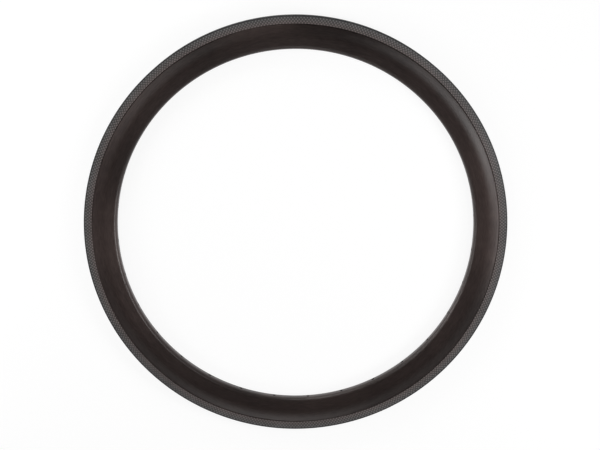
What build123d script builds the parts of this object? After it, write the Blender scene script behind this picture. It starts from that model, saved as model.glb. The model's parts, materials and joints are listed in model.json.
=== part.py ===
from build123d import *
from math import atan, cos, pi, sin
import os

# A deep carbon rim for rim brakes: one hollow moulded ring, drilled for spokes and a valve.
# The wheel's axis is Z and the origin is the wheel's centre, so the rim lies on its side.
# The section is drawn as radius against distance from the mid plane. Lengths are in millimetres.

# Tyre side
bead_seat_diameter = 622.0
flange_height = 5.5  # bead seat out to the flange tip
inner_width = 17.4  # between the two hooks
hook_overhang = 0.8  # each hook past the wall under it
hook_height = 2.2  # flange tip in to the foot of the hook
well_depth = 3.5  # bead seat in to the well's floor
well_width = 13.0  # at the bead seats
well_floor_width = 10.0

# Outside form
rim_depth = 49.0  # flange tip in to the nose
track_width = 24.6  # over the two brake tracks
track_height = 12.2  # flange tip in to the groove
groove_width = 1.2
groove_depth = 0.7
belly_width = 26.8  # over the widest points of the sidewalls
belly_inset = 25.5  # flange tip in to the widest points
nose_round_width = 19.0  # over the sidewalls where the nose's rounding meets them
nose_round_height = 5.2  # nose out to there
sidewall_bend = 1.3  # power of the sidewall's curve in from its widest point, 1 for a straight one

# Walls
sidewall_thickness = 0.9  # at the widest points
track_thickness = 2.2  # behind the brake tracks
bed_thickness = 1.4
nose_thickness = 2.2

# Drilling
spoke_count = 32
spoke_hole_diameter = 4.6
valve_hole_diameter = 6.5
valve_angle = 90.0  # degrees round from +X
drill_overrun = 3.0  # past each wall

# Straight runs that stand for each curve of the section
nose_runs = 3
sidewall_runs = 2

# Radii of the section
bead_seat_radius = bead_seat_diameter / 2
outer_radius = bead_seat_radius + flange_height
nose_radius = outer_radius - rim_depth
round_end_radius = nose_radius + nose_round_height
belly_radius = outer_radius - belly_inset
groove_outer_radius = outer_radius - track_height
groove_inner_radius = groove_outer_radius - groove_width
well_radius = bead_seat_radius - well_depth

# Half widths of the section
half_track = track_width / 2
half_belly = belly_width / 2
half_round = nose_round_width / 2
half_inner = inner_width / 2
half_channel = half_inner + hook_overhang
half_well = well_width / 2
half_well_floor = well_floor_width / 2

# The nose's rounding is an arc that touches the sidewall and a narrow flat, where the spoke holes open
sidewall_run = belly_radius - round_end_radius
sidewall_lean = atan(sidewall_bend * (half_belly - half_round) / sidewall_run)
nose_round = nose_round_height / (1 - sin(sidewall_lean))
half_nose = half_round - nose_round * cos(sidewall_lean)

# Holes sit evenly round the nose, with the valve midway between two spokes
spoke_start_angle = valve_angle + 180 / spoke_count


def nose_points():
    """Points on the nose's rounding from the edge of the flat out to the sidewall."""
    angles = [(pi / 2 - sidewall_lean) * step / nose_runs for step in range(nose_runs + 1)]
    return [
        (nose_radius + nose_round * (1 - cos(angle)), half_nose + nose_round * sin(angle))
        for angle in angles
    ]


def sidewall_points():
    """Points on the sidewall past the nose's rounding, closer together towards the widest point."""
    shares = [(1 - step / sidewall_runs) ** 2 for step in range(1, sidewall_runs + 1)]
    return [
        (belly_radius - sidewall_run * share, half_belly - (half_belly - half_round) * share**sidewall_bend)
        for share in shares
    ]


with BuildPart() as rim:
    # Outside, from the nose up one side to the tyre well's floor
    with BuildSketch(Plane.XZ):
        with BuildLine():
            Polyline(
                (nose_radius, 0),
                *nose_points(),
                *sidewall_points(),
                (groove_inner_radius, half_track),
                ((groove_inner_radius + groove_outer_radius) / 2, half_track - groove_depth),
                (groove_outer_radius, half_track),
                (outer_radius, half_track),
                (outer_radius, half_inner),
                (outer_radius - hook_height, half_channel),
                (bead_seat_radius, half_channel),
                (bead_seat_radius, half_well),
                (well_radius, half_well_floor),
                (well_radius, 0),
            )
            mirror(about=Plane.XZ)
        make_face()
    revolve(axis=Axis.Z)

    # Hollow between the nose, the sidewalls and the tyre bed
    with BuildSketch(Plane.XZ):
        with BuildLine():
            Polyline(
                (nose_radius + nose_thickness, 0),
                (nose_radius + nose_thickness, half_nose),
                (round_end_radius, half_round - (nose_thickness + sidewall_thickness) / 2),
                (belly_radius, half_belly - sidewall_thickness),
                (bead_seat_radius - bed_thickness, half_track - track_thickness),
                (well_radius - bed_thickness, half_well_floor),
                (well_radius - bed_thickness, 0),
            )
            mirror(about=Plane.XZ)
        make_face()
    revolve(axis=Axis.Z, mode=Mode.SUBTRACT)

    # Spoke holes through the nose
    with PolarLocations(nose_radius + nose_thickness / 2, spoke_count, spoke_start_angle):
        Cylinder(
            spoke_hole_diameter / 2,
            nose_thickness + 2 * drill_overrun,
            rotation=(0, 90, 0),
            mode=Mode.SUBTRACT,
        )

    # Valve hole through the tyre bed and the nose
    with PolarLocations((nose_radius + well_radius) / 2, 1, valve_angle):
        Cylinder(
            valve_hole_diameter / 2,
            well_radius - nose_radius + 2 * drill_overrun,
            rotation=(0, 90, 0),
            mode=Mode.SUBTRACT,
        )

rim.part.label = "rim"

os.makedirs("parts", exist_ok=True)
export_step(rim.part, "parts/rim.step")
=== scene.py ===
"""Looks of a deep carbon bicycle rim, laid out as an add-on and run as a script.

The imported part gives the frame: the wheel's axis is Z, its centre is the origin and lengths are in metres.
The rim is one moulded piece, so one closed mesh stands for it. Its section line is turned about Z, and the
nose and the tyre bed are bands of patches, some of them drilled. The upper half of the section is drawn, and
the lower half mirrors it.
"""
import json
from math import atan2, cos, hypot, pi, radians, sin
from typing import NamedTuple

import bpy
import numpy as np
from mathutils import Matrix, Vector


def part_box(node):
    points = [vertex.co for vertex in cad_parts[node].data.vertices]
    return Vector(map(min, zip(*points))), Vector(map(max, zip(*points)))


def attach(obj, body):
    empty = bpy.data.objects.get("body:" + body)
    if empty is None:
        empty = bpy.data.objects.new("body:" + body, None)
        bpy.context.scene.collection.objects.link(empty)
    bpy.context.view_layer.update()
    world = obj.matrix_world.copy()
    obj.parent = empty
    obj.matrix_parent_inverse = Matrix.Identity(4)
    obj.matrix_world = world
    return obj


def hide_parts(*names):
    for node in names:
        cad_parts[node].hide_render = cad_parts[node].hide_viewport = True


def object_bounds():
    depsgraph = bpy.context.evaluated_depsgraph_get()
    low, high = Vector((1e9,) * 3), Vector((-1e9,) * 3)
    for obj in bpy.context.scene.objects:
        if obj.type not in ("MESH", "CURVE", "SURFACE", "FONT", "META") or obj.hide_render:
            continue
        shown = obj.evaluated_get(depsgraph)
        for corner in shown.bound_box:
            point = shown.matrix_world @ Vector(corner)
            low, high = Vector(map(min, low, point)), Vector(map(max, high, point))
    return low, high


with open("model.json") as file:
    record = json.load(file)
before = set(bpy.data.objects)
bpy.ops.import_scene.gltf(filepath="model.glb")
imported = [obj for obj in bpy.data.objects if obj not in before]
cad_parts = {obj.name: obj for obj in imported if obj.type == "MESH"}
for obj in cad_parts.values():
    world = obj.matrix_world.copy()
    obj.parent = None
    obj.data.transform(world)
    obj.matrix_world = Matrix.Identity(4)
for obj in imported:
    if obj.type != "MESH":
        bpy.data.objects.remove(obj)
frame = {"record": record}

bl_info = {
    "name": "Carbon bicycle rim",
    "version": (1, 0, 0),
    "blender": (4, 5, 0),
    "location": "View3D > Sidebar > Rim",
    "description": "Builds the skin, the finishes and the stage of a deep carbon bicycle rim",
    "category": "Object",
}

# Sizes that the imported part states
MILLIMETRE = 0.001
cad_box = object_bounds()
rim_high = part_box("rim")[1]
mounts = {mount["name"]: mount for mount in frame["record"]["mounts"]}
spoke_mount = mounts["spoke_hole"]
valve_mount = mounts["valve_hole"]
stated_nose_wall = spoke_mount["dims"]["length_mm"] * MILLIMETRE
stated_nose_radius = hypot(*spoke_mount["pos_m"][:2]) - stated_nose_wall / 2
stated_well_radius = stated_nose_radius + valve_mount["dims"]["length_mm"] * MILLIMETRE
stated_valve_angle = atan2(valve_mount["pos_m"][1], valve_mount["pos_m"][0])
stated_half_track = mounts["brake_track_up"]["pos_m"][2]

# Surface finishes of the skin, in the order of its material slots
WALL, TRACK, EDGE, BED, RAW = range(5)

# Strips of the bake map from the bottom up: how many rows each is cut into, and its share of the height
BAKE_STRIPS = {
    "track_up": (5, 0.142),
    "track_down": (5, 0.142),
    "wall_up": (2, 0.13),
    "wall_down": (2, 0.13),
    "edge_up": (2, 0.025),
    "edge_down": (2, 0.025),
    "channel_up": (2, 0.05),
    "channel_down": (2, 0.05),
    "nose": (4, 0.096),
    "bed": (4, 0.096),
    "hollow_up": (1, 0.03),
    "hollow_down": (1, 0.03),
    "nose_back": (1, 0.025),
    "bed_back": (1, 0.025),
}
BAKE_PADDING = 0.0015
BAKE_MAP = "OFBake"

# Size on the bake map of a hole's far edge, as a share of its near edge
FAR_EDGE_SHARE = 0.6

# Side of the cells in which points become one, and the shift that keeps cell borders off round values
WELD_DISTANCE = 1e-7
WELD_SHIFT = 0.137

# Share of a sidewall, from its widest point towards the nose, that bends before it runs straight
BEND_SHARE = 0.46

# Steps of the sidewall's line in the hollow, on the nose's arc and past it
HOLLOW_ARC_STEPS = 2
HOLLOW_FLANK_STEPS = 4

# A brake track's first point lies this many holds past the groove
GROOVE_HOLDS = 4

# Rings round a hole: the border's share in each ring on the face, then each ring's turn on the rounded edge
FACE_SHARES = (1.0, 0.6, 0.3, 0.1, 0.0)
EDGE_TURNS = (pi / 3, pi / 6, 0.0)

# Place and side of each soft lamp, in metres
LAMPS = {
    "key": ((0.58, 0.09, 0.85), 0.25),
    "key_top": ((0.4, 0.31, 0.86), 0.25),
    "fill": ((-0.45, 0.26, 0.86), 0.4),
    "right": ((1.1, -0.22, 0.8), 0.5),
    "left": ((-1.15, -0.25, 0.55), 0.5),
    "low_left": ((-1.1, 0.3, 0.3), 0.4),
    "upper_left": ((-0.8, 0.5, 0.6), 0.4),
    "back": ((-0.3, 1.2, 0.6), 0.5),
    "front": ((-0.05, -1.1, 0.9), 0.6),
    "front_right": ((0.54, -0.79, 1.0), 0.5),
    "front_left": ((-0.54, -0.79, 1.0), 0.5),
}

# Grey of the floor in the light that it throws back
FLOOR_GREY = 0.8

# Upward part of a direction at which the room's light leaves the horizon's and reaches the zenith's
HORIZON_END = 0.08
ZENITH_START = 0.3

SENSOR_WIDTH_MM = 36.0
CLIP_START = 0.01
NOISE_ROUGHNESS = 0.55


def length_property(name, default, description):
    """A length setting in metres, shown to a hundredth of a millimetre."""
    return bpy.props.FloatProperty(
        name=name, description=description, default=default, min=0.0, unit="LENGTH", precision=5
    )


def count_property(name, default, description):
    """A whole-number setting."""
    return bpy.props.IntProperty(name=name, description=description, default=default, min=1)


def share_property(name, default, description):
    """A setting from 0 to 1."""
    return bpy.props.FloatProperty(
        name=name, description=description, default=default, min=0.0, max=1.0, subtype="FACTOR"
    )


def power_property(name, default, description):
    """A lamp's power."""
    return bpy.props.FloatProperty(
        name=name, description=description, default=default, min=0.0, unit="POWER"
    )


def angle_property(name, default, description):
    """An angle setting in radians, shown in degrees."""
    return bpy.props.FloatProperty(name=name, description=description, default=default, subtype="ANGLE")


def brightness_property(name, default, description):
    """A setting of 0 or more."""
    return bpy.props.FloatProperty(name=name, description=description, default=default, min=0.0)


def colour_property(name, default, description):
    """A linear colour setting."""
    return bpy.props.FloatVectorProperty(
        name=name, description=description, default=default, size=3, min=0.0, max=1.0, subtype="COLOR"
    )


class RimSectionSettings(bpy.types.PropertyGroup):
    """Sizes of the rim's section, its walls and its drilling."""

    outer_radius: length_property("Outer radius", rim_high.x, "Wheel's centre to the flange tips")
    half_belly: length_property("Half belly", rim_high.z, "Mid plane to the widest point of a sidewall")
    half_track: length_property("Half track", stated_half_track, "Mid plane to a brake track")
    nose_radius: length_property("Nose radius", stated_nose_radius, "Wheel's centre to the nose")
    nose_thickness: length_property("Nose thickness", stated_nose_wall, "Wall that the spokes pass through")
    well_radius: length_property("Well radius", stated_well_radius, "Wheel's centre to the tyre well's floor")
    bead_seat_radius: length_property("Bead seat radius", 0.311, "Wheel's centre to the bead seats")
    belly_inset: length_property("Belly inset", 0.0255, "Flange tip in to the widest points")
    round_height: length_property("Round height", 0.0052, "Nose out to where its rounding ends")
    half_round: length_property("Half round", 0.0095, "Mid plane to a sidewall where the rounding meets it")
    track_height: length_property("Track height", 0.0122, "Flange tip in to the groove")
    groove_width: length_property("Groove width", 0.0012, "Across the groove under a brake track")
    groove_depth: length_property("Groove depth", 0.0007, "Brake track down to the groove's bottom")
    half_inner: length_property("Half inner width", 0.0087, "Mid plane to a hook")
    half_channel: length_property("Half channel", 0.0095, "Mid plane to the wall under a hook")
    hook_height: length_property("Hook height", 0.0022, "Flange tip in to the foot of the hook")
    half_well: length_property("Half well", 0.0065, "Half of the well at the bead seats")
    half_well_floor: length_property("Half well floor", 0.005, "Half of the well's floor")
    sidewall_thickness: length_property("Sidewall thickness", 0.0009, "Wall at the widest points")
    track_thickness: length_property("Track thickness", 0.0022, "Wall behind a brake track")
    bed_thickness: length_property("Bed thickness", 0.0014, "Wall under the tyre")
    bare_edge: length_property("Bare edge", 0.0016, "Plain strip between the woven track and the flange tip")
    edge_round: length_property("Edge rounding", 0.0009, "Outer corner of a flange")
    hook_round: length_property("Hook rounding", 0.0008, "Corners of the hooks and the bead seats")
    well_round: length_property("Well rounding", 0.0005, "Foot of the well's slopes")
    groove_round: length_property("Groove rounding", 0.00018, "Corners of the groove")
    hold: length_property("Hold", 0.0001, "From a rounding to the point that keeps its flat even")
    spoke_hole_radius: length_property(
        "Spoke hole radius", spoke_mount["dims"]["r_mm"] * MILLIMETRE, "Holes in the nose"
    )
    valve_hole_radius: length_property(
        "Valve hole radius", valve_mount["dims"]["r_mm"] * MILLIMETRE, "Hole through bed and nose"
    )
    access_hole_radius: length_property("Access hole radius", 0.00375, "Holes in the bed for nipples")
    hole_round: length_property("Hole rounding", 0.0003, "Edges of the drilled holes")
    nose_band: length_property("Nose band", 0.005, "Mid plane to the edge of the nose's patches")
    bed_band: length_property("Bed band", 0.0045, "Mid plane to the edge of the bed's patches")
    valve_angle: angle_property("Valve angle", stated_valve_angle, "Round from +X to the valve hole")
    spoke_count: count_property("Spokes", 32, "Holes round the nose")
    patch_columns: count_property("Patch columns", 5, "Faces round one patch, of which each spoke has two")
    patch_rows: count_property("Patch rows", 8, "Faces across a band of patches")
    nose_steps: count_property("Nose steps", 8, "Faces across the nose's rounding past its patches")
    wall_steps: count_property("Wall steps", 12, "Faces from the nose's rounding to the widest point")
    shoulder_steps: count_property("Shoulder steps", 6, "Faces from the widest point to the groove")
    track_steps: count_property("Track steps", 4, "Faces across a brake track")
    round_steps: count_property("Rounding steps", 4, "Faces across a rounded corner")


class RimFinishSettings(bpy.types.PropertyGroup):
    """Colours and lay of the rim's finishes."""

    wall_dark: colour_property("Wall, dark", (0.031, 0.021, 0.019), "Satin sidewall between its streaks")
    wall_light: colour_property("Wall, light", (0.066, 0.046, 0.042), "Satin sidewall on its streaks")
    # The track's gap colour holds painted shade between the tows, and its crown colours hold a painted
    # highlight as well as wear.
    track_dark: colour_property("Track, dark", (0.010, 0.0085, 0.008), "Gaps between a brake track's tows")
    track_light: colour_property("Track, light", (0.195, 0.160, 0.153), "Crowns of the tows by the groove")
    track_tip: colour_property("Track, tip", (0.166, 0.161, 0.161), "Crowns of the tows by the flange tip")
    edge_dark: colour_property("Edge, dark", (0.0085, 0.0085, 0.0095), "Bare flange tips")
    edge_light: colour_property("Edge, light", (0.022, 0.0215, 0.0225), "Rubbed places on the flange tips")
    bed_dark: colour_property("Bed, dark", (0.010, 0.0095, 0.0095), "Gaps between the tows of the tyre side")
    bed_light: colour_property("Bed, light", (0.030, 0.029, 0.029), "Crowns of the tows of the tyre side")
    raw_dark: colour_property("Raw, dark", (0.012, 0.0115, 0.011), "Inside of the hollow")
    raw_light: colour_property("Raw, light", (0.030, 0.028, 0.026), "Resin on the inside of the hollow")
    tows_round: count_property("Tows round", 840, "Tows that cross a brake track, counted round the rim")
    tow_width: length_property("Tow width", 0.0026, "Tows that run along a brake track")
    tow_height: length_property("Tow height", 0.00009, "Crown of a tow over its edges")


class StageSettings(bpy.types.PropertyGroup):
    """Camera, lamps and floor."""

    focal_length: bpy.props.FloatProperty(
        name="Focal length", description="Lens, in mm on a 36 mm sensor", default=75.09, min=1.0
    )
    distance: length_property("Distance", 1.882, "Camera to the wheel's centre")
    tilt: angle_property("Tilt", radians(12.62), "Camera's lean from the wheel's axis")
    roll: angle_property("Roll", radians(1.438), "Turn of the picture, counter-clockwise")
    turn: angle_property("Turn", radians(2.995), "Camera's turn about the wheel's axis")
    shift: bpy.props.FloatVectorProperty(
        name="Shift", description="Framing of the picture", default=(0.00715, 0.0049), size=2
    )
    floor_size: length_property("Floor size", 16.0, "Side of the square floor")
    floor_glow: share_property("Floor glow", 0.88, "White that the floor shows of itself")
    floor_tone: share_property("Floor tone", 0.15, "White that the floor shows by the light it gets")
    key_power: power_property("Key power", 1.45, "Small lamp above the right of the rim")
    key_top_power: power_property("Key top power", 0.52, "Small lamp above the upper right of the rim")
    fill_power: power_property("Fill power", 0.52, "Small lamp above the upper left of the rim")
    right_power: power_property("Right power", 6.4, "Lamp on the right")
    left_power: power_property("Left power", 2.6, "Lamp on the left")
    low_left_power: power_property("Low left power", 3.0, "Lamp near the floor on the left")
    upper_left_power: power_property("Upper left power", 1.5, "Lamp past the rim's upper left")
    back_power: power_property("Back power", 3.9, "Lamp past the top of the rim")
    front_power: power_property("Front power", 2.0, "Lamp below the picture")
    front_right_power: power_property("Front right power", 0.4, "Lamp above the rim's lower right")
    front_left_power: power_property("Front left power", 0.4, "Lamp above the rim's lower left")
    zenith: brightness_property("Zenith", 0.03, "Brightness of the room overhead")
    horizon: brightness_property("Horizon", 1.0, "Brightness of the room at the floor's level")


# The section


class Band(NamedTuple):
    """A strip of patches round the rim, symmetric about the mid plane."""

    flat_radius: float
    half_flat: float
    round_radius: float
    half_height: float


class SkinPart(NamedTuple):
    """A piece of the skin before welding, with its place on the bake map."""

    points: np.ndarray
    quads: np.ndarray
    around: np.ndarray
    across: np.ndarray
    strip: str
    finish: int


class Patch(NamedTuple):
    """One patch of a band: points round the band, up it and out, their places on the map, and its faces."""

    offset: np.ndarray
    height: np.ndarray
    radius: np.ndarray
    map_offset: np.ndarray
    map_height: np.ndarray
    quads: np.ndarray


def unit(vectors):
    """Vectors scaled to length 1."""
    return vectors / np.linalg.norm(vectors, axis=-1, keepdims=True)


def corner_arcs(points, radii, steps, hold):
    """A line through points with its inner corners rounded.

    A corner P has unit directions u and v to its neighbours and the angle 2h between them. Its arc of
    radius r is centred on P + unit(u + v) r / sin(h) and touches both runs at r / tan(h) from P. A point
    that lies hold beyond each touch keeps the runs flat.
    """
    points = np.asarray(points, dtype=float)
    radii = np.asarray(radii, dtype=float)[:, None]
    corners = points[1:-1]
    back = unit(points[:-2] - corners)
    onward = unit(points[2:] - corners)
    half = np.arccos(np.sum(back * onward, axis=1, keepdims=True)) / 2
    reach = radii / np.tan(half)
    centres = corners + unit(back + onward) * radii / np.sin(half)
    first = (corners + back * reach - centres)[:, None]
    last = (corners + onward * reach - centres)[:, None]
    sweep = (pi - 2 * half)[:, None]
    share = np.linspace(0, 1, steps + 1)[None, :, None]
    arcs = (np.sin((1 - share) * sweep) * first + np.sin(share * sweep) * last) / np.sin(sweep)
    held_back = corners + back * (reach + hold)
    held_onward = corners + onward * (reach + hold)
    blocks = np.concatenate((held_back[:, None], arcs + centres[:, None], held_onward[:, None]), axis=1)
    return np.concatenate((points[:1], blocks.reshape(-1, 2), points[-1:]))


def wall_radii(section):
    """Radii where the nose's rounding meets the sidewalls and where they are widest."""
    return section.nose_radius + section.round_height, section.outer_radius - section.belly_inset


def wall_lean(half_round, half_belly, section):
    """Lean of a sidewall's straight part: tan(lean) = (half belly - half round) / (1 - bend / 2) / run."""
    round_end, belly_radius = wall_radii(section)
    return atan2((half_belly - half_round) / (1 - BEND_SHARE / 2), belly_radius - round_end)


def nose_band(flat_radius, half_round, half_belly, section):
    """The nose's flat, with the arcs that join it to the sidewalls.

    An arc of radius height / (1 - sin(lean)) touches the flat and the sidewall, so the flat ends at
    half round - radius cos(lean).
    """
    lean = wall_lean(half_round, half_belly, section)
    round_radius = (wall_radii(section)[0] - flat_radius) / (1 - sin(lean))
    return Band(flat_radius, half_round - round_radius * cos(lean), round_radius, section.nose_band)


def round_turn(band, height):
    """Angle on a band's arc at a height: sin(turn) = (|height| - half flat) / round radius, 0 on the flat."""
    return np.arcsin(np.maximum(np.abs(height) - band.half_flat, 0.0) / band.round_radius)


def band_radius(band, height):
    """Radius of a band at a height: flat + round (1 - cos(turn))."""
    return band.flat_radius + band.round_radius * (1 - np.cos(round_turn(band, height)))


def wall_line(band, half_round, half_belly, arc_steps, flank_steps, section):
    """A sidewall from a band's edge to the widest point.

    On the arc, radius = flat + round (1 - cos(turn)) and height = half flat + round sin(turn), until the
    arc leans as the sidewall does. Then height = half belly - (half belly - half round) fall, where share
    goes from 1 at the arc to 0 at the widest point. The slope of fall rises evenly from 0 over the bend and
    stays the same past it: fall is share squared / (2 bend) and then share - bend / 2, both over
    1 - bend / 2.
    """
    round_end, belly_radius = wall_radii(section)
    last_turn = pi / 2 - wall_lean(half_round, half_belly, section)
    turn = np.linspace(round_turn(band, band.half_height), last_turn, arc_steps + 1)
    arc_radius = band.flat_radius + band.round_radius * (1 - np.cos(turn))
    arc_height = band.half_flat + band.round_radius * np.sin(turn)
    share = np.linspace(1, 0, flank_steps + 1)[1:]
    bent = share**2 / (2 * BEND_SHARE)
    fall = np.where(share < BEND_SHARE, bent, share - BEND_SHARE / 2) / (1 - BEND_SHARE / 2)
    flank_radius = belly_radius - (belly_radius - round_end) * share
    flank_height = half_belly - (half_belly - half_round) * fall
    radius = np.concatenate((arc_radius, flank_radius))
    return np.column_stack((radius, np.concatenate((arc_height, flank_height))))


def outside_wall(section):
    """The nose's outside and its sidewall's line."""
    band = nose_band(section.nose_radius, section.half_round, section.half_belly, section)
    line = wall_line(
        band, section.half_round, section.half_belly, section.nose_steps, section.wall_steps, section
    )
    return band, line


def inside_wall(section):
    """The nose's inside and the sidewall's line in the hollow."""
    half_round = section.half_round - (section.nose_thickness + section.sidewall_thickness) / 2
    half_belly = section.half_belly - section.sidewall_thickness
    band = nose_band(section.nose_radius + section.nose_thickness, half_round, half_belly, section)
    return band, wall_line(band, half_round, half_belly, HOLLOW_ARC_STEPS, HOLLOW_FLANK_STEPS, section)


def nose_bands(section):
    """The nose's outside and its inside."""
    return outside_wall(section)[0], inside_wall(section)[0]


def bed_bands(section):
    """The tyre bed's outside and its inside, both flat all over."""
    outside = Band(section.well_radius, np.inf, 1.0, section.bed_band)
    inside = Band(section.well_radius - section.bed_thickness, np.inf, 1.0, section.bed_band)
    return outside, inside


def side_lines(section):
    """The sidewall with its shoulder and groove, and the brake track, as lines of (radius, height).

    The shoulder falls from the widest point as height = belly - (belly - track) share squared.
    """
    wall = outside_wall(section)[1]
    belly_radius = wall[-1, 0]
    groove_outer = section.outer_radius - section.track_height
    groove_inner = groove_outer - section.groove_width
    share = np.linspace(0, 1, section.shoulder_steps + 1)[1:-1]
    shoulder_radius = belly_radius + (groove_inner - belly_radius) * share
    shoulder_height = section.half_belly - (section.half_belly - section.half_track) * share**2
    shoulder = np.column_stack((shoulder_radius, shoulder_height))
    track_start = (groove_outer + GROOVE_HOLDS * section.hold, section.half_track)
    track_end = (section.outer_radius - section.bare_edge, section.half_track)
    groove = corner_arcs(
        [
            shoulder[-1],
            (groove_inner, section.half_track),
            ((groove_inner + groove_outer) / 2, section.half_track - section.groove_depth),
            (groove_outer, section.half_track),
            track_start,
        ],
        [section.groove_round] * 3,
        section.round_steps,
        section.hold,
    )
    track = np.linspace(track_start, track_end, section.track_steps + 1)
    return np.concatenate((wall, shoulder[:-1], groove)), track


def tyre_lines(section):
    """The flange's outer edge, and the hook, bead seat and well, as lines of (radius, height)."""
    tip_middle = (section.outer_radius, (section.half_track + section.half_inner) / 2)
    edge = corner_arcs(
        [
            (section.outer_radius - section.bare_edge, section.half_track),
            (section.outer_radius, section.half_track),
            tip_middle,
        ],
        [section.edge_round],
        section.round_steps,
        section.hold,
    )
    channel = corner_arcs(
        [
            tip_middle,
            (section.outer_radius, section.half_inner),
            (section.outer_radius - section.hook_height, section.half_channel),
            (section.bead_seat_radius, section.half_channel),
            (section.bead_seat_radius, section.half_well),
            (section.well_radius, section.half_well_floor),
            (section.well_radius, section.bed_band),
        ],
        [section.hook_round] * 4 + [section.well_round],
        section.round_steps,
        section.hold,
    )
    return edge, channel


def hollow_line(section):
    """The inside of the hollow from the nose's patches to the bed's."""
    bed_radius = section.well_radius - section.bed_thickness
    corners = [
        (section.bead_seat_radius - section.bed_thickness, section.half_track - section.track_thickness),
        (bed_radius, section.half_well_floor),
        (bed_radius, section.bed_band),
    ]
    return np.concatenate((inside_wall(section)[1], corners))


# Surfaces


def grid_quads(rows, columns):
    """Faces of a grid of points, in the order (i, j), (i + 1, j), (i + 1, j + 1), (i, j + 1)."""
    index = np.arange(rows * columns).reshape(rows, columns)
    quads = (index[:-1, :-1], index[1:, :-1], index[1:, 1:], index[:-1, 1:])
    return np.stack(quads, axis=-1).reshape(-1, 4)


def ring_quads(rings, count):
    """Faces between closed rings of points, in the order (i, j), (i + 1, j), (i + 1, j + 1), (i, j + 1)."""
    index = np.arange(rings * count).reshape(rings, count)
    following = np.roll(index, -1, axis=1)
    quads = (index[:-1], index[1:], following[1:], following[:-1])
    return np.stack(quads, axis=-1).reshape(-1, 4)


def polar_points(radius, angle, height):
    """Points at (radius cos(angle), radius sin(angle), height)."""
    radius, angle, height = np.broadcast_arrays(radius, angle, height)
    return np.stack((radius * np.cos(angle), radius * np.sin(angle), height), axis=-1)


def turned_parts(line, strip, finish, faces_out, section):
    """A section line turned about Z, and its mirror image below the mid plane.

    Points lie at (radius(t) cos(a), radius(t) sin(a), height(t)) for every angle a and line point t. The
    upper grid's faces look at the side that the line has on its right; they are turned round where
    faces_out is set.
    """
    columns = 2 * section.spoke_count * section.patch_columns
    around = np.arange(columns + 1) / columns
    angle = section.valve_angle + 2 * pi * (around - section.patch_columns / 2 / columns)
    steps = np.linalg.norm(np.diff(line, axis=0), axis=1)
    across = np.concatenate(([0.0], np.cumsum(steps))) / steps.sum()
    quads = grid_quads(len(angle), len(line))
    around, across = np.meshgrid(around, across, indexing="ij")
    parts = []
    for side, name in ((1, "_up"), (-1, "_down")):
        points = polar_points(line[:, 0], angle[:, None], side * line[:, 1])
        turned = quads[:, ::-1] if (side > 0) == faces_out else quads
        parts.append(
            SkinPart(points.reshape(-1, 3), turned, around.ravel(), across.ravel(), strip + name, finish)
        )
    return parts


def repeated_part(angles, patch, band, strip, finish, section):
    """One patch of a band set at several angles: its offsets round the band become turns about Z."""
    turned = angles[:, None] + patch.offset.ravel() / band.flat_radius
    points = polar_points(patch.radius.ravel(), turned, patch.height.ravel())
    first = np.arange(len(angles))[:, None, None] * patch.offset.size
    patch_share = 1 / (2 * section.spoke_count)
    turn = angles[:, None] - section.valve_angle + patch.map_offset.ravel() / band.flat_radius
    around = turn / (2 * pi) + patch_share / 2
    across = np.tile((patch.map_height.ravel() / band.half_height + 1) / 2, (len(angles), 1))
    quads = (patch.quads + first).reshape(-1, 4)
    return SkinPart(points.reshape(-1, 3), quads, around.ravel(), across.ravel(), strip, finish)


def plain_part(angles, band, depth_sign, strip, finish, section):
    """Undrilled patches: grids over (angle, height) at the band's radius(height), facing off the wall."""
    half_width = pi / (2 * section.spoke_count) * band.flat_radius
    offset, height = np.meshgrid(
        np.linspace(-half_width, half_width, section.patch_columns + 1),
        np.linspace(-band.half_height, band.half_height, section.patch_rows + 1),
        indexing="ij",
    )
    quads = grid_quads(*offset.shape)
    if depth_sign > 0:
        quads = quads[:, ::-1]
    patch = Patch(offset, height, band_radius(band, height), offset, height, quads)
    return repeated_part(angles, patch, band, strip, finish, section)


def patch_outline(half_width, half_height, section):
    """A patch's border, counter-clockwise from its lower right corner."""
    columns, rows = section.patch_columns, section.patch_rows
    along = np.linspace(half_width, -half_width, columns + 1)[:-1]
    up = np.linspace(-half_height, half_height, rows + 1)[:-1]
    right = np.stack((np.full(rows, half_width), up), axis=1)
    top = np.stack((along, np.full(columns, half_height)), axis=1)
    return np.concatenate((right, top, -right, -top))


def hole_rings(band, hole_radius, depth_sign, section):
    """Rings of points from a patch's border in to a hole's rounded edge.

    On the face, ring k is the border times share(k) plus the hole's circle times 1 - share(k). Then the edge
    turns in: radius = hole + round (1 - cos(bend)), depth = round (1 - sin(bend)). Gives each ring's
    offsets, heights and radii.
    """
    half_width = pi / (2 * section.spoke_count) * band.flat_radius
    outline = patch_outline(half_width, band.half_height, section)
    count = len(outline)
    bearing = 2 * pi * (np.arange(count) - section.patch_rows / 2) / count
    circle = np.stack((np.cos(bearing), np.sin(bearing)), axis=1)
    share = np.array(FACE_SHARES)[:, None, None]
    face = outline * share + circle * (hole_radius + section.hole_round) * (1 - share)
    bend = np.array(EDGE_TURNS)
    lip_radius = hole_radius + section.hole_round * (1 - np.cos(bend))
    lip_depth = section.hole_round * (1 - np.sin(bend))
    spread = np.concatenate((face, circle * lip_radius[:, None, None]))
    depth = np.concatenate((np.zeros(len(face)), lip_depth))[:, None]
    radius = band_radius(band, spread[..., 1]) + depth_sign * depth
    return spread[..., 0], spread[..., 1], radius


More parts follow.
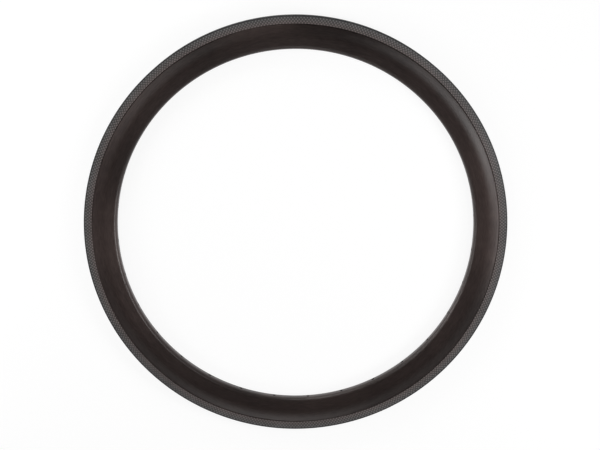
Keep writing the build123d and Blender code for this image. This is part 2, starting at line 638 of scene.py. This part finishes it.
def drilled_parts(angles, bands, hole_radius, depth_sign, strip, finish, section):
    """Patches with a hole through the wall: the outside with the hole's wall, then the inside."""
    outside, inside = bands
    offset, height, radius = hole_rings(outside, hole_radius, depth_sign, section)
    back_offset, back_height, back_radius = hole_rings(inside, hole_radius, -depth_sign, section)
    # The last ring of the outside is the hole's edge on the inside, drawn smaller on the bake map
    map_offset = np.concatenate((offset, offset[-1:] * FAR_EDGE_SHARE))
    map_height = np.concatenate((height, height[-1:] * FAR_EDGE_SHARE))
    offset = np.concatenate((offset, back_offset[-1:] * outside.flat_radius / inside.flat_radius))
    height = np.concatenate((height, back_height[-1:]))
    radius = np.concatenate((radius, back_radius[-1:]))
    front = ring_quads(*offset.shape)
    back = ring_quads(*back_offset.shape)
    if depth_sign > 0:
        back = back[:, ::-1]
    else:
        front = front[:, ::-1]
    front_patch = Patch(offset, height, radius, map_offset, map_height, front)
    back_patch = Patch(back_offset, back_height, back_radius, back_offset, back_height, back)
    return [
        repeated_part(angles, front_patch, outside, strip, finish, section),
        repeated_part(angles, back_patch, inside, strip + "_back", RAW, section),
    ]


def band_parts(bands, spoke_hole_radius, depth_sign, strip, finish, section):
    """A whole band: the valve's patch, then spoke patches and plain patches in turn."""
    count = 2 * section.spoke_count
    angles = section.valve_angle + 2 * pi * np.arange(count) / count
    plain_angles = angles[2::2]
    return [
        plain_part(plain_angles, bands[0], depth_sign, strip, finish, section),
        plain_part(plain_angles, bands[1], -depth_sign, strip + "_back", RAW, section),
        *drilled_parts(angles[1::2], bands, spoke_hole_radius, depth_sign, strip, finish, section),
        *drilled_parts(angles[:1], bands, section.valve_hole_radius, depth_sign, strip, finish, section),
    ]


def bake_coordinates(parts):
    """A place on the bake map for every face corner.

    Strip s starts at height b(s) and has n rows of height h. A face in row k lies at
    (around n - k, b(s) + h k + padding + across (h - 2 padding)).
    """
    starts = {}
    start = 0.0
    for strip, (_, height) in BAKE_STRIPS.items():
        starts[strip] = start
        start += height
    corners = []
    for part in parts:
        rows, height = BAKE_STRIPS[part.strip]
        row_height = height / rows
        around = part.around[part.quads]
        row = np.floor(around.mean(axis=1, keepdims=True) * rows)
        across = BAKE_PADDING + part.across[part.quads] * (row_height - 2 * BAKE_PADDING)
        up = starts[part.strip] + row * row_height + across
        corners.append(np.stack((around * rows - row, up), axis=-1))
    return np.concatenate(corners)


def skin_mesh(name, parts):
    """One closed mesh from the parts: points in the same weld cell become one."""
    points = np.concatenate([part.points for part in parts])
    firsts = np.cumsum([0] + [len(part.points) for part in parts[:-1]])
    quads = np.concatenate([part.quads + first for part, first in zip(parts, firsts)])
    finishes = np.concatenate([np.full(len(part.quads), part.finish) for part in parts])
    keys = np.round(points / WELD_DISTANCE + WELD_SHIFT).astype(np.int64)
    _, kept, welded = np.unique(keys, axis=0, return_index=True, return_inverse=True)
    faces = welded.ravel()[quads]
    mesh = bpy.data.meshes.new(name)
    mesh.vertices.add(len(kept))
    mesh.vertices.foreach_set("co", points[kept].astype(np.float32).ravel())
    mesh.loops.add(faces.size)
    mesh.loops.foreach_set("vertex_index", faces.astype(np.int32).ravel())
    mesh.polygons.add(len(faces))
    mesh.polygons.foreach_set("loop_start", np.arange(0, faces.size, 4, dtype=np.int32))
    mesh.polygons.foreach_set("material_index", finishes.astype(np.int32))
    mesh.polygons.foreach_set("use_smooth", finishes != RAW)
    bake_map = mesh.uv_layers.new(name=BAKE_MAP)
    bake_map.data.foreach_set("uv", bake_coordinates(parts).astype(np.float32).ravel())
    mesh.update(calc_edges=True)
    if mesh.validate():
        raise RuntimeError("The rim's skin has faulty faces")
    return mesh


# Node groups and materials


class Bench:
    """Adds nodes to one tree and joins them."""

    def __init__(self, tree):
        self.tree = tree

    def feed(self, socket, value):
        """Sets a socket, or joins it to another node's output."""
        if isinstance(value, bpy.types.NodeSocket):
            self.tree.links.new(value, socket)
        else:
            socket.default_value = value

    def add(self, kind, inputs=None, **settings):
        """Adds a node with its settings and inputs."""
        node = self.tree.nodes.new(kind)
        for setting, value in settings.items():
            setattr(node, setting, value)
        for socket, value in (inputs or {}).items():
            self.feed(node.inputs[socket], value)
        return node

    def maths(self, operation, *values):
        """Output of a sum."""
        inputs = dict(enumerate(values))
        return self.add("ShaderNodeMath", inputs, operation=operation).outputs[0]

    def vector(self, x, y, z):
        """Output of a vector made of three values."""
        return self.add("ShaderNodeCombineXYZ", {"X": x, "Y": y, "Z": z}).outputs[0]

    def blend(self, factor, first, second):
        """Output of a colour between two others."""
        # The node repeats its sockets' names for each kind of data, so the colour ones go by number
        inputs = {0: factor, 6: first, 7: second}
        return self.add("ShaderNodeMix", inputs, data_type="RGBA").outputs[2]

    def fit(self, value, span, to=(0.0, 1.0)):
        """Output of a value moved from one span to another, with its ends held."""
        inputs = {"Value": value, "From Min": span[0], "From Max": span[1], "To Min": to[0], "To Max": to[1]}
        return self.add("ShaderNodeMapRange", inputs).outputs[0]

    def noise(self, vector, scale, detail):
        """Output of a noise value."""
        inputs = {"Vector": vector, "Scale": scale, "Detail": detail, "Roughness": NOISE_ROUGHNESS}
        return self.add("ShaderNodeTexNoise", inputs).outputs[0]

    def group(self, tree, inputs):
        """Outputs of a node group with its inputs."""
        return self.add("ShaderNodeGroup", inputs, node_tree=tree).outputs

    def relief(self, shader, height, strength, distance):
        """Gives a shader fine relief by a height."""
        bump = self.add("ShaderNodeBump", {"Height": height, "Strength": strength, "Distance": distance})
        self.feed(shader.inputs["Normal"], bump.outputs[0])


def empty_bench(owner):
    """A bench on the emptied node tree of a material or a world."""
    owner.use_nodes = True
    owner.node_tree.nodes.clear()
    return Bench(owner.node_tree)


def new_group(name, inputs, outputs):
    """An empty node group with its sockets; gives its bench, its input node and its output node."""
    tree = bpy.data.node_groups.new(name, "ShaderNodeTree")
    for socket, kind in inputs.items():
        tree.interface.new_socket(socket, in_out="INPUT", socket_type=kind)
    for socket, kind in outputs.items():
        tree.interface.new_socket(socket, in_out="OUTPUT", socket_type=kind)
    bench = Bench(tree)
    return bench, bench.add("NodeGroupInput"), bench.add("NodeGroupOutput")


def ring_lay_group():
    """Share of a turn, radius and height of a place.

    Turn = atan2(y, x) / (2 pi) + 1/2, and radius is the root of x squared plus y squared.
    """
    bench, entry, end = new_group(
        "ring_lay",
        {"Place": "NodeSocketVector"},
        {"Turn": "NodeSocketFloat", "Radius": "NodeSocketFloat", "Height": "NodeSocketFloat"},
    )
    place = bench.add("ShaderNodeSeparateXYZ", {0: entry.outputs["Place"]})
    angle = bench.maths("ARCTAN2", place.outputs["Y"], place.outputs["X"])
    turn = bench.maths("MULTIPLY_ADD", angle, 1 / (2 * pi), 0.5)
    square = bench.maths("MULTIPLY", place.outputs["X"], place.outputs["X"])
    square = bench.maths("MULTIPLY_ADD", place.outputs["Y"], place.outputs["Y"], square)
    bench.feed(end.inputs["Turn"], turn)
    bench.feed(end.inputs["Radius"], bench.maths("SQRT", square))
    bench.feed(end.inputs["Height"], place.outputs["Z"])
    return bench.tree


def plain_weave_group():
    """Plain weave over two lays counted in tows: height of the tow on top, and which of the two it is.

    In each cell one tow is on top, by the cell's checker. Its height is sin(pi across) times
    1 - dip + dip sin(pi along), so it dips where it goes under its neighbours.
    """
    dip = 0.55
    bench, entry, end = new_group(
        "plain_weave",
        {"Across lay": "NodeSocketFloat", "Along lay": "NodeSocketFloat"},
        {"Crown": "NodeSocketFloat", "Along on top": "NodeSocketFloat"},
    )
    across_lay, along_lay = entry.outputs["Across lay"], entry.outputs["Along lay"]
    bumps = []
    for lay in (across_lay, along_lay):
        bumps.append(bench.maths("SINE", bench.maths("MULTIPLY", bench.maths("FRACT", lay), pi)))
    cell = bench.maths("ADD", bench.maths("FLOOR", across_lay), bench.maths("FLOOR", along_lay))
    on_top = bench.maths("FLOORED_MODULO", cell, 2.0)
    dips = [bench.maths("MULTIPLY_ADD", bump, dip, 1 - dip) for bump in bumps]
    crossing = bench.maths("MULTIPLY", bumps[0], dips[1])
    running = bench.maths("MULTIPLY", bumps[1], dips[0])
    difference = bench.maths("SUBTRACT", running, crossing)
    bench.feed(end.inputs["Crown"], bench.maths("MULTIPLY_ADD", difference, on_top, crossing))
    bench.feed(end.inputs["Along on top"], on_top)
    return bench.tree


def fibre_streak_group():
    """Streaks along the rim: noise over (cos(turn), sin(turn)) times a count and radius over a width."""
    bench, entry, end = new_group(
        "fibre_streaks",
        {
            "Turn": "NodeSocketFloat",
            "Radius": "NodeSocketFloat",
            "Count": "NodeSocketFloat",
            "Width": "NodeSocketFloat",
        },
        {"Streak": "NodeSocketFloat"},
    )
    angle = bench.maths("MULTIPLY", entry.outputs["Turn"], 2 * pi)
    count = entry.outputs["Count"]
    x = bench.maths("MULTIPLY", bench.maths("COSINE", angle), count)
    y = bench.maths("MULTIPLY", bench.maths("SINE", angle), count)
    z = bench.maths("DIVIDE", entry.outputs["Radius"], entry.outputs["Width"])
    bench.feed(end.inputs["Streak"], bench.noise(bench.vector(x, y, z), scale=1.0, detail=3.0))
    return bench.tree


def handling_group():
    """Slow changes of tone and small specks over a place, both from 0 to 1."""
    bench, entry, end = new_group(
        "handling",
        {"Place": "NodeSocketVector"},
        {"Tone": "NodeSocketFloat", "Specks": "NodeSocketFloat"},
    )
    tone = bench.noise(entry.outputs["Place"], scale=22.0, detail=3.0)
    specks = bench.noise(entry.outputs["Place"], scale=900.0, detail=2.0)
    bench.feed(end.inputs["Tone"], bench.fit(tone, span=(0.3, 0.7)))
    bench.feed(end.inputs["Specks"], bench.fit(specks, span=(0.66, 0.78)))
    return bench.tree


def opaque(colour):
    """A colour with its fourth value."""
    return (*colour, 1.0)


def new_finish(name, groups):
    """A material with its shader; gives them with the bench, the object's place and its handling marks."""
    material = bpy.data.materials.new(name)
    bench = empty_bench(material)
    shader = bench.add("ShaderNodeBsdfPrincipled")
    end = bench.add("ShaderNodeOutputMaterial")
    bench.feed(end.inputs["Surface"], shader.outputs[0])
    place = bench.add("ShaderNodeTexCoord").outputs["Object"]
    handling = bench.group(groups["handling"], {"Place": place})
    return material, bench, shader, place, handling


def fibre_streaks(bench, groups, lay, count, width):
    """Output of streaks along the rim, by their count and their width in metres."""
    inputs = {"Turn": lay["Turn"], "Radius": lay["Radius"], "Count": count, "Width": width}
    return bench.group(groups["fibre_streaks"], inputs)["Streak"]


def tow_weave(bench, groups, finish, turn, run):
    """Outputs of the weave at a share of a turn and a distance across the rim."""
    across_lay = bench.maths("MULTIPLY", turn, float(finish.tows_round))
    along_lay = bench.maths("DIVIDE", run, finish.tow_width)
    return bench.group(groups["plain_weave"], {"Across lay": across_lay, "Along lay": along_lay})


def wall_material(groups, finish):
    """Satin sidewall: fibres along the rim, whose sheen spreads across them, under a thin satin coat."""
    streak_share = 0.65
    tone_share = 0.35
    plain_roughness = 0.53
    tone_gloss = 0.06
    speck_dullness = 0.2
    material, bench, shader, place, handling = new_finish("satin_sidewall", groups)
    lay = bench.group(groups["ring_lay"], {"Place": place})
    streaks = fibre_streaks(bench, groups, lay, count=26.0, width=0.0011)
    share = bench.fit(streaks, span=(0.32, 0.68), to=(0.0, streak_share))
    share = bench.maths("MULTIPLY_ADD", handling["Tone"], tone_share, share)
    colour = bench.blend(share, opaque(finish.wall_dark), opaque(finish.wall_light))
    bench.feed(shader.inputs["Base Color"], colour)
    gloss = bench.maths("MULTIPLY_ADD", handling["Tone"], -tone_gloss, plain_roughness)
    roughness = bench.maths("MULTIPLY_ADD", handling["Specks"], speck_dullness, gloss)
    bench.feed(shader.inputs["Roughness"], roughness)
    shader.inputs["Metallic"].default_value = 0.9
    shader.inputs["Anisotropic"].default_value = 0.9
    shader.inputs["Anisotropic Rotation"].default_value = 0.25
    fibres = bench.add("ShaderNodeTangent", direction_type="RADIAL", axis="Z")
    bench.feed(shader.inputs["Tangent"], fibres.outputs[0])
    shader.inputs["Coat Weight"].default_value = 0.7
    shader.inputs["Coat Roughness"].default_value = 0.3
    bench.relief(shader, streaks, strength=0.25, distance=0.00005)
    return material


def track_material(groups, finish):
    """Woven brake track: bare plain-woven tows, crowns paler by wear and a painted highlight, gaps and tows
    along the rim in painted shade, worn paler by the flange tip.
    """
    plain_rub = 0.43
    crown_wear_and_painted_highlight = 0.3
    along_painted_shade = 0.5
    streak_rub = 0.1
    tone_rub = 0.16
    tip_start = rim_high.x - 0.010
    tip_end = rim_high.x - 0.003
    material, bench, shader, place, handling = new_finish("woven_track", groups)
    lay = bench.group(groups["ring_lay"], {"Place": place})
    weave = tow_weave(bench, groups, finish, lay["Turn"], lay["Radius"])
    streaks = fibre_streaks(bench, groups, lay, count=90.0, width=0.0006)
    # Crowns paler than the gaps: partly wear by rubbing, partly a painted highlight on the crowns and painted
    # shade in the gaps between tows.
    wear_and_painted_light = bench.fit(weave["Crown"], span=(0.1, 0.9), to=(0.0, crown_wear_and_painted_highlight))
    wear_and_painted_light = bench.maths("ADD", wear_and_painted_light, plain_rub)
    # Tows along the rim are painted darker than tows across it: painted shade standing in for the sheen that
    # the fibres' direction gives under the lamps.
    wear_and_painted_light = bench.maths("MULTIPLY_ADD", weave["Along on top"], -along_painted_shade, wear_and_painted_light)
    streak_tone = bench.fit(streaks, span=(0.35, 0.65), to=(-streak_rub, streak_rub))
    wear_and_painted_light = bench.maths("ADD", streak_tone, wear_and_painted_light)
    wear_and_painted_light = bench.maths("MULTIPLY_ADD", handling["Tone"], tone_rub, wear_and_painted_light)
    tipward = bench.fit(lay["Radius"], span=(tip_start, tip_end))
    crowns = bench.blend(tipward, opaque(finish.track_light), opaque(finish.track_tip))
    colour = bench.blend(wear_and_painted_light, opaque(finish.track_dark), crowns)
    bench.feed(shader.inputs["Base Color"], colour)
    bench.feed(shader.inputs["Roughness"], bench.fit(weave["Crown"], span=(0.1, 1.0), to=(0.58, 0.42)))
    bench.relief(shader, weave["Crown"], strength=0.8, distance=finish.tow_height)
    return material


def edge_material(groups, finish):
    """Flange tips: plain resin-rich edge with places worn by rubbing."""
    streak_share = 0.8
    speck_share = 0.3
    material, bench, shader, place, handling = new_finish("bare_edge", groups)
    lay = bench.group(groups["ring_lay"], {"Place": place})
    streaks = fibre_streaks(bench, groups, lay, count=60.0, width=0.0008)
    share = bench.fit(streaks, span=(0.45, 0.72), to=(0.0, streak_share))
    share = bench.maths("MULTIPLY_ADD", handling["Specks"], speck_share, share)
    colour = bench.blend(share, opaque(finish.edge_dark), opaque(finish.edge_light))
    bench.feed(shader.inputs["Base Color"], colour)
    bench.feed(shader.inputs["Roughness"], bench.fit(streaks, span=(0.3, 0.7), to=(0.38, 0.52)))
    bench.relief(shader, streaks, strength=0.3, distance=0.00004)
    return material


def bed_material(groups, finish):
    """Tyre side: moulded weave with a glossy resin skin, laid along the rim and across it."""
    crown_share = 0.55
    tone_share = 0.4
    plain_roughness = 0.28
    tone_dullness = 0.16
    material, bench, shader, place, handling = new_finish("moulded_tyre_bed", groups)
    lay = bench.group(groups["ring_lay"], {"Place": place})
    run = bench.maths("SUBTRACT", lay["Radius"], bench.maths("ABSOLUTE", lay["Height"]))
    weave = tow_weave(bench, groups, finish, lay["Turn"], run)
    share = bench.maths("MULTIPLY", handling["Tone"], tone_share)
    share = bench.maths("MULTIPLY_ADD", weave["Crown"], crown_share, share)
    colour = bench.blend(share, opaque(finish.bed_dark), opaque(finish.bed_light))
    bench.feed(shader.inputs["Base Color"], colour)
    roughness = bench.maths("MULTIPLY_ADD", handling["Tone"], tone_dullness, plain_roughness)
    bench.feed(shader.inputs["Roughness"], roughness)
    bench.relief(shader, weave["Crown"], strength=0.35, distance=finish.tow_height)
    return material


def raw_material(groups, finish):
    """Inside of the hollow: dull, with resin folds left by the bladder that pressed it."""
    material, bench, shader, place, handling = new_finish("raw_hollow", groups)
    folds = bench.noise(place, scale=120.0, detail=4.0)
    colour = bench.blend(handling["Tone"], opaque(finish.raw_dark), opaque(finish.raw_light))
    bench.feed(shader.inputs["Base Color"], colour)
    bench.feed(shader.inputs["Roughness"], bench.fit(folds, span=(0.3, 0.7), to=(0.55, 0.75)))
    bench.relief(shader, folds, strength=0.5, distance=0.0003)
    return material


def rim_materials(finish):
    """The five finishes in the order of the skin's material slots."""
    groups = {
        "ring_lay": ring_lay_group(),
        "plain_weave": plain_weave_group(),
        "fibre_streaks": fibre_streak_group(),
        "handling": handling_group(),
    }
    makers = (wall_material, track_material, edge_material, bed_material, raw_material)
    return [maker(groups, finish) for maker in makers]


# Stage


def floor_material(stage):
    """Pale floor: white to the camera and in reflections, darkened only where the rim keeps light off it."""
    material = bpy.data.materials.new("pale_floor")
    bench = empty_bench(material)
    rays = bench.add("ShaderNodeLightPath").outputs
    seen = bench.maths("MAXIMUM", rays["Is Camera Ray"], rays["Is Glossy Ray"])
    seen = bench.maths("MAXIMUM", seen, rays["Is Transmission Ray"])
    plain = bench.add("ShaderNodeBsdfDiffuse", {"Color": opaque([FLOOR_GREY] * 3)}).outputs[0]
    tone = opaque([stage.floor_tone] * 3)
    lit = bench.add("ShaderNodeBsdfDiffuse", {"Color": tone}).outputs[0]
    glow = bench.add("ShaderNodeEmission", {"Strength": stage.floor_glow}).outputs[0]
    pale = bench.add("ShaderNodeAddShader", {0: lit, 1: glow}).outputs[0]
    shown = bench.add("ShaderNodeMixShader", {0: seen, 1: plain, 2: pale}).outputs[0]
    end = bench.add("ShaderNodeOutputMaterial")
    bench.feed(end.inputs["Surface"], shown)
    return material


def studio_world(stage):
    """Room light: pale at the floor's level and dim overhead, by the height of the direction looked in."""
    world = bpy.data.worlds.new("studio")
    bench = empty_bench(world)
    direction = bench.add("ShaderNodeTexCoord").outputs["Generated"]
    height = bench.add("ShaderNodeSeparateXYZ", {0: direction}).outputs["Z"]
    strength = bench.fit(height, span=(HORIZON_END, ZENITH_START), to=(stage.horizon, stage.zenith))
    background = bench.add("ShaderNodeBackground", {"Strength": strength})
    end = bench.add("ShaderNodeOutputWorld")
    bench.feed(end.inputs["Surface"], background.outputs[0])
    return world


def soft_lamp(name, place, size, power):
    """Adds a square lamp that looks at the wheel's centre and that the camera doesn't see."""
    data = bpy.data.lights.new(name, "AREA")
    data.size = size
    data.energy = power
    lamp = bpy.data.objects.new(name, data)
    lamp.location = place
    lamp.rotation_mode = "QUATERNION"
    lamp.rotation_quaternion = (-Vector(place)).to_track_quat("-Z", "Y")
    lamp.visible_camera = False
    bpy.context.collection.objects.link(lamp)


def photo_camera(stage):
    """Camera that leans from the wheel's axis by the tilt, then is turned about that axis and rolled."""
    turn = Matrix.Rotation(stage.turn, 3, "Z")
    back = turn @ Vector((0.0, sin(stage.tilt), cos(stage.tilt)))
    level_up = turn @ Vector((0.0, cos(stage.tilt), -sin(stage.tilt)))
    level_right = turn @ Vector((1.0, 0.0, 0.0))
    right = level_right * cos(stage.roll) - level_up * sin(stage.roll)
    up = level_right * sin(stage.roll) + level_up * cos(stage.roll)
    data = bpy.data.cameras.new("photo_camera")
    data.sensor_width = SENSOR_WIDTH_MM
    data.lens = stage.focal_length
    data.shift_x, data.shift_y = stage.shift
    data.clip_start = CLIP_START
    camera = bpy.data.objects.new("photo_camera", data)
    axes = Matrix((right, up, back)).transposed().to_4x4()
    camera.matrix_world = Matrix.Translation(back * stage.distance) @ axes
    bpy.context.collection.objects.link(camera)
    return camera


class RIM_OT_build_skin(bpy.types.Operator):
    """Builds the rim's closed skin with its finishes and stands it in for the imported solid."""

    bl_idname = "rim.build_skin"
    bl_label = "Build rim skin"

    def execute(self, context):
        section = context.scene.rim_section
        side, track = side_lines(section)
        edge, channel = tyre_lines(section)
        parts = [
            *turned_parts(side, "wall", WALL, True, section),
            *turned_parts(track, "track", TRACK, True, section),
            *turned_parts(edge, "edge", EDGE, True, section),
            *turned_parts(channel, "channel", BED, True, section),
            *turned_parts(hollow_line(section), "hollow", RAW, False, section),
            *band_parts(nose_bands(section), section.spoke_hole_radius, 1, "nose", WALL, section),
            *band_parts(bed_bands(section), section.access_hole_radius, -1, "bed", BED, section),
        ]
        skin = bpy.data.objects.new("rim_skin", skin_mesh("rim_skin", parts))
        context.collection.objects.link(skin)
        for material in rim_materials(context.scene.rim_finish):
            skin.data.materials.append(material)
        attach(skin, "root")
        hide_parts("rim")
        return {"FINISHED"}


class RIM_OT_build_stage(bpy.types.Operator):
    """Sets the floor, the lamps, the room and the camera."""

    bl_idname = "rim.build_stage"
    bl_label = "Build rim stage"

    def execute(self, context):
        stage = context.scene.rim_stage
        half = stage.floor_size / 2
        level = cad_box[0].z
        mesh = bpy.data.meshes.new("floor")
        corners = [(-half, -half, level), (half, -half, level), (half, half, level), (-half, half, level)]
        mesh.from_pydata(corners, [], [(0, 1, 2, 3)])
        mesh.materials.append(floor_material(stage))
        floor = bpy.data.objects.new("floor", mesh)
        context.collection.objects.link(floor)
        for name, (place, size) in LAMPS.items():
            soft_lamp(name, place, size, getattr(stage, name + "_power"))
        context.scene.world = studio_world(stage)
        context.scene.camera = photo_camera(stage)
        context.scene.view_settings.view_transform = "Standard"
        return {"FINISHED"}


class RIM_PT_panel(bpy.types.Panel):
    """Settings of the rim and the calls that build it."""

    bl_idname = "RIM_PT_panel"
    bl_label = "Rim"
    bl_space_type = "VIEW_3D"
    bl_region_type = "UI"
    bl_category = "Rim"

    def draw(self, context):
        scene = context.scene
        for settings in (scene.rim_section, scene.rim_finish, scene.rim_stage):
            box = self.layout.box()
            for name in settings.__annotations__:
                box.prop(settings, name)
        self.layout.operator(RIM_OT_build_skin.bl_idname)
        self.layout.operator(RIM_OT_build_stage.bl_idname)


CLASSES = (
    RimSectionSettings,
    RimFinishSettings,
    StageSettings,
    RIM_OT_build_skin,
    RIM_OT_build_stage,
    RIM_PT_panel,
)


def register():
    """Adds the classes and the scene's settings."""
    for kind in CLASSES:
        bpy.utils.register_class(kind)
    bpy.types.Scene.rim_section = bpy.props.PointerProperty(type=RimSectionSettings)
    bpy.types.Scene.rim_finish = bpy.props.PointerProperty(type=RimFinishSettings)
    bpy.types.Scene.rim_stage = bpy.props.PointerProperty(type=StageSettings)


def unregister():
    """Takes the scene's settings and the classes away again."""
    del bpy.types.Scene.rim_stage
    del bpy.types.Scene.rim_finish
    del bpy.types.Scene.rim_section
    for kind in reversed(CLASSES):
        bpy.utils.unregister_class(kind)


def main():
    """Builds the whole scene."""
    register()
    bpy.ops.rim.build_skin()
    bpy.ops.rim.build_stage()


if __name__ == "__main__":
    main()
